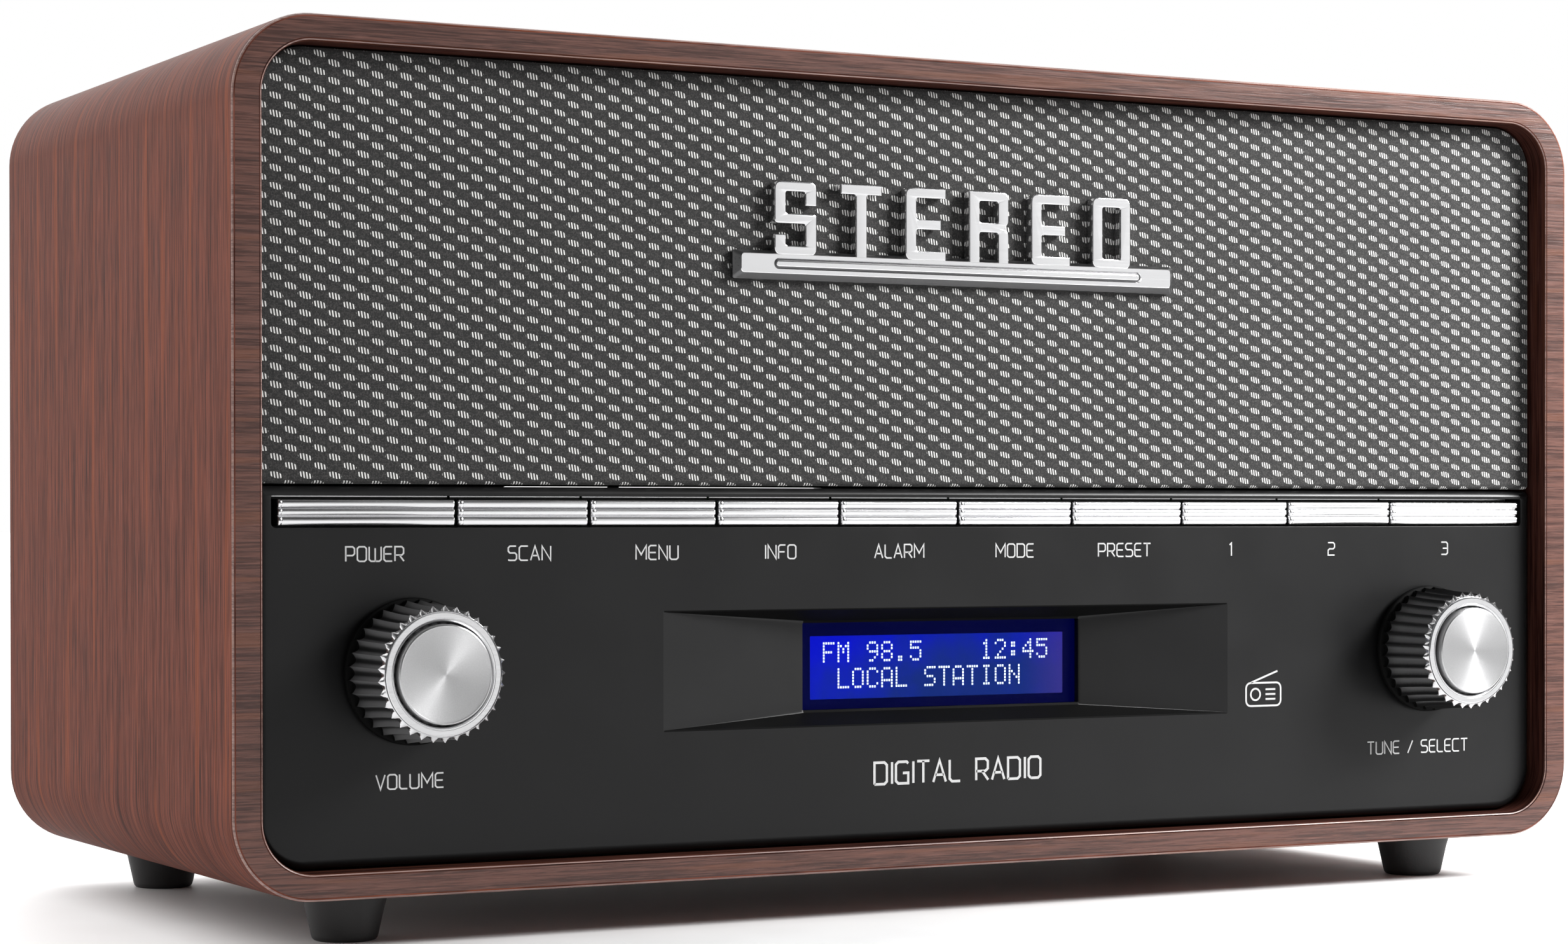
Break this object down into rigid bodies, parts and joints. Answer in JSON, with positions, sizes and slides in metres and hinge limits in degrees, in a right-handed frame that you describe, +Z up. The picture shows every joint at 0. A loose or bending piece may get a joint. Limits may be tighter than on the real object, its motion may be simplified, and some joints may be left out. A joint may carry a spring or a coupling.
{
  "type": "tabletop radio",
  "caption": "Tabletop stereo radio in a wrapped wooden cabinet, with a cloth grille, a row of push keys, two fluted knobs, a blue text display and a telescopic aerial behind.",
  "frame": {"origin": "on the surface the feet stand on, under the middle of the whole radio", "axes": "+X to the right seen from the front, front faces -Y, +Z up"},
  "size_m": [0.33, 0.1761, 0.182],
  "materials": {
    "walnut_veneer": "satin, fine straight grain",
    "baffle_board": "raw fibreboard",
    "black_satin": "satin",
    "grille_fabric": "woven, with pale flecks",
    "badge_chrome": "polished",
    "knob_chrome": "polished",
    "key_chrome": "satin chrome",
    "brushed_aluminium": "spun",
    "zinc_steel": "zinc plated",
    "circuit_board": "solder mask",
    "display_acrylic": "clear, tinted",
    "display_glass": "blue backlight",
    "cone_paper": "pressed paper",
    "ferrite": "dull",
    "lead_rubber": "matte",
    "rear_plastic": "fine texture",
    "aerial_chrome": "polished",
    "foot_rubber": "matte"
  },
  "bodies": {
    "root": {"cabinet_shell": "walnut_veneer", "front_baffle": "baffle_board", "grille_frame": "black_satin", "grille_cloth": "grille_fabric", "badge": "badge_chrome", "control_panel": "black_satin", "control_board": "circuit_board", "display_window": "display_acrylic", "display_glass": "display_glass", "display_board": "circuit_board", "speaker_left_basket": "zinc_steel", "speaker_left_cone": "cone_paper", "speaker_left_magnet": "ferrite", "speaker_right_basket": "zinc_steel", "speaker_right_cone": "cone_paper", "speaker_right_magnet": "ferrite", "speaker_left_lead": "lead_rubber", "speaker_right_lead": "lead_rubber", "main_board": "circuit_board", "tuner_module": "zinc_steel", "rear_panel": "rear_plastic", "dc_socket": "black_satin", "audio_jacks": "black_satin", "rear_screw_lower_left": "zinc_steel", "rear_screw_lower_right": "zinc_steel", "rear_screw_upper_left": "zinc_steel", "rear_screw_upper_right": "zinc_steel", "aerial_mount": "black_satin", "foot_front_left": "foot_rubber", "foot_front_right": "foot_rubber", "foot_rear_left": "foot_rubber", "foot_rear_right": "foot_rubber", "foot_screw_front_left": "zinc_steel", "foot_screw_front_right": "zinc_steel", "foot_screw_rear_left": "zinc_steel", "foot_screw_rear_right": "zinc_steel"},
    "key_power": {"key_power": "key_chrome"},
    "key_scan": {"key_scan": "key_chrome"},
    "key_menu": {"key_menu": "key_chrome"},
    "key_info": {"key_info": "key_chrome"},
    "key_alarm": {"key_alarm": "key_chrome"},
    "key_mode": {"key_mode": "key_chrome"},
    "key_preset": {"key_preset": "key_chrome"},
    "key_1": {"key_1": "key_chrome"},
    "key_2": {"key_2": "key_chrome"},
    "key_3": {"key_3": "key_chrome"},
    "volume_knob": {"volume_knob_body": "black_satin", "volume_knob_ring": "knob_chrome", "volume_knob_cap": "brushed_aluminium", "volume_shaft": "zinc_steel"},
    "tune_plunger": {"tune_plunger": "zinc_steel"},
    "tune_knob": {"tune_knob_body": "black_satin", "tune_knob_ring": "knob_chrome", "tune_knob_cap": "brushed_aluminium", "tune_shaft": "zinc_steel"},
    "aerial_knuckle": {"aerial_knuckle": "aerial_chrome"},
    "aerial_sleeve": {"aerial_sleeve": "aerial_chrome"},
    "aerial_middle": {"aerial_middle": "aerial_chrome"},
    "aerial_tip": {"aerial_tip": "aerial_chrome"}
  },
  "joints": [
    {"name": "press_power", "type": "slide", "parent": "root", "child": "key_power", "axis": [0, 1, 0], "range_m": [0, 0.0015], "stiffness_N_per_m": 250},
    {"name": "press_scan", "type": "slide", "parent": "root", "child": "key_scan", "axis": [0, 1, 0], "range_m": [0, 0.0015], "stiffness_N_per_m": 250},
    {"name": "press_menu", "type": "slide", "parent": "root", "child": "key_menu", "axis": [0, 1, 0], "range_m": [0, 0.0015], "stiffness_N_per_m": 250},
    {"name": "press_info", "type": "slide", "parent": "root", "child": "key_info", "axis": [0, 1, 0], "range_m": [0, 0.0015], "stiffness_N_per_m": 250},
    {"name": "press_alarm", "type": "slide", "parent": "root", "child": "key_alarm", "axis": [0, 1, 0], "range_m": [0, 0.0015], "stiffness_N_per_m": 250},
    {"name": "press_mode", "type": "slide", "parent": "root", "child": "key_mode", "axis": [0, 1, 0], "range_m": [0, 0.0015], "stiffness_N_per_m": 250},
    {"name": "press_preset", "type": "slide", "parent": "root", "child": "key_preset", "axis": [0, 1, 0], "range_m": [0, 0.0015], "stiffness_N_per_m": 250},
    {"name": "press_1", "type": "slide", "parent": "root", "child": "key_1", "axis": [0, 1, 0], "range_m": [0, 0.0015], "stiffness_N_per_m": 250},
    {"name": "press_2", "type": "slide", "parent": "root", "child": "key_2", "axis": [0, 1, 0], "range_m": [0, 0.0015], "stiffness_N_per_m": 250},
    {"name": "press_3", "type": "slide", "parent": "root", "child": "key_3", "axis": [0, 1, 0], "range_m": [0, 0.0015], "stiffness_N_per_m": 250},
    {"name": "volume_turn", "type": "hinge", "parent": "root", "child": "volume_knob", "pos_m": [-0.1265, -0.0745, 0.0541], "axis": [0, 1, 0], "continuous": true},
    {"name": "select_press", "type": "slide", "parent": "root", "child": "tune_plunger", "axis": [0, 1, 0], "range_m": [0, 0.0005], "stiffness_N_per_m": 500},
    {"name": "tune_turn", "type": "hinge", "parent": "tune_plunger", "child": "tune_knob", "pos_m": [0.1265, -0.0745, 0.0541], "axis": [0, 1, 0], "continuous": true},
    {"name": "aerial_swivel", "type": "hinge", "parent": "root", "child": "aerial_knuckle", "pos_m": [0.134, 0.0755, 0.156], "axis": [0, 1, 0], "range_deg": [0, 180]},
    {"name": "aerial_tilt", "type": "hinge", "parent": "aerial_knuckle", "child": "aerial_sleeve", "pos_m": [0.134, 0.0845, 0.156], "axis": [0, 0, -1], "range_deg": [0, 90]},
    {"name": "aerial_middle_slide", "type": "slide", "parent": "aerial_sleeve", "child": "aerial_middle", "axis": [-1, 0, 0], "range_m": [0, 0.15]},
    {"name": "aerial_tip_slide", "type": "slide", "parent": "aerial_middle", "child": "aerial_tip", "axis": [-1, 0, 0], "range_m": [0, 0.15]}
  ]
}
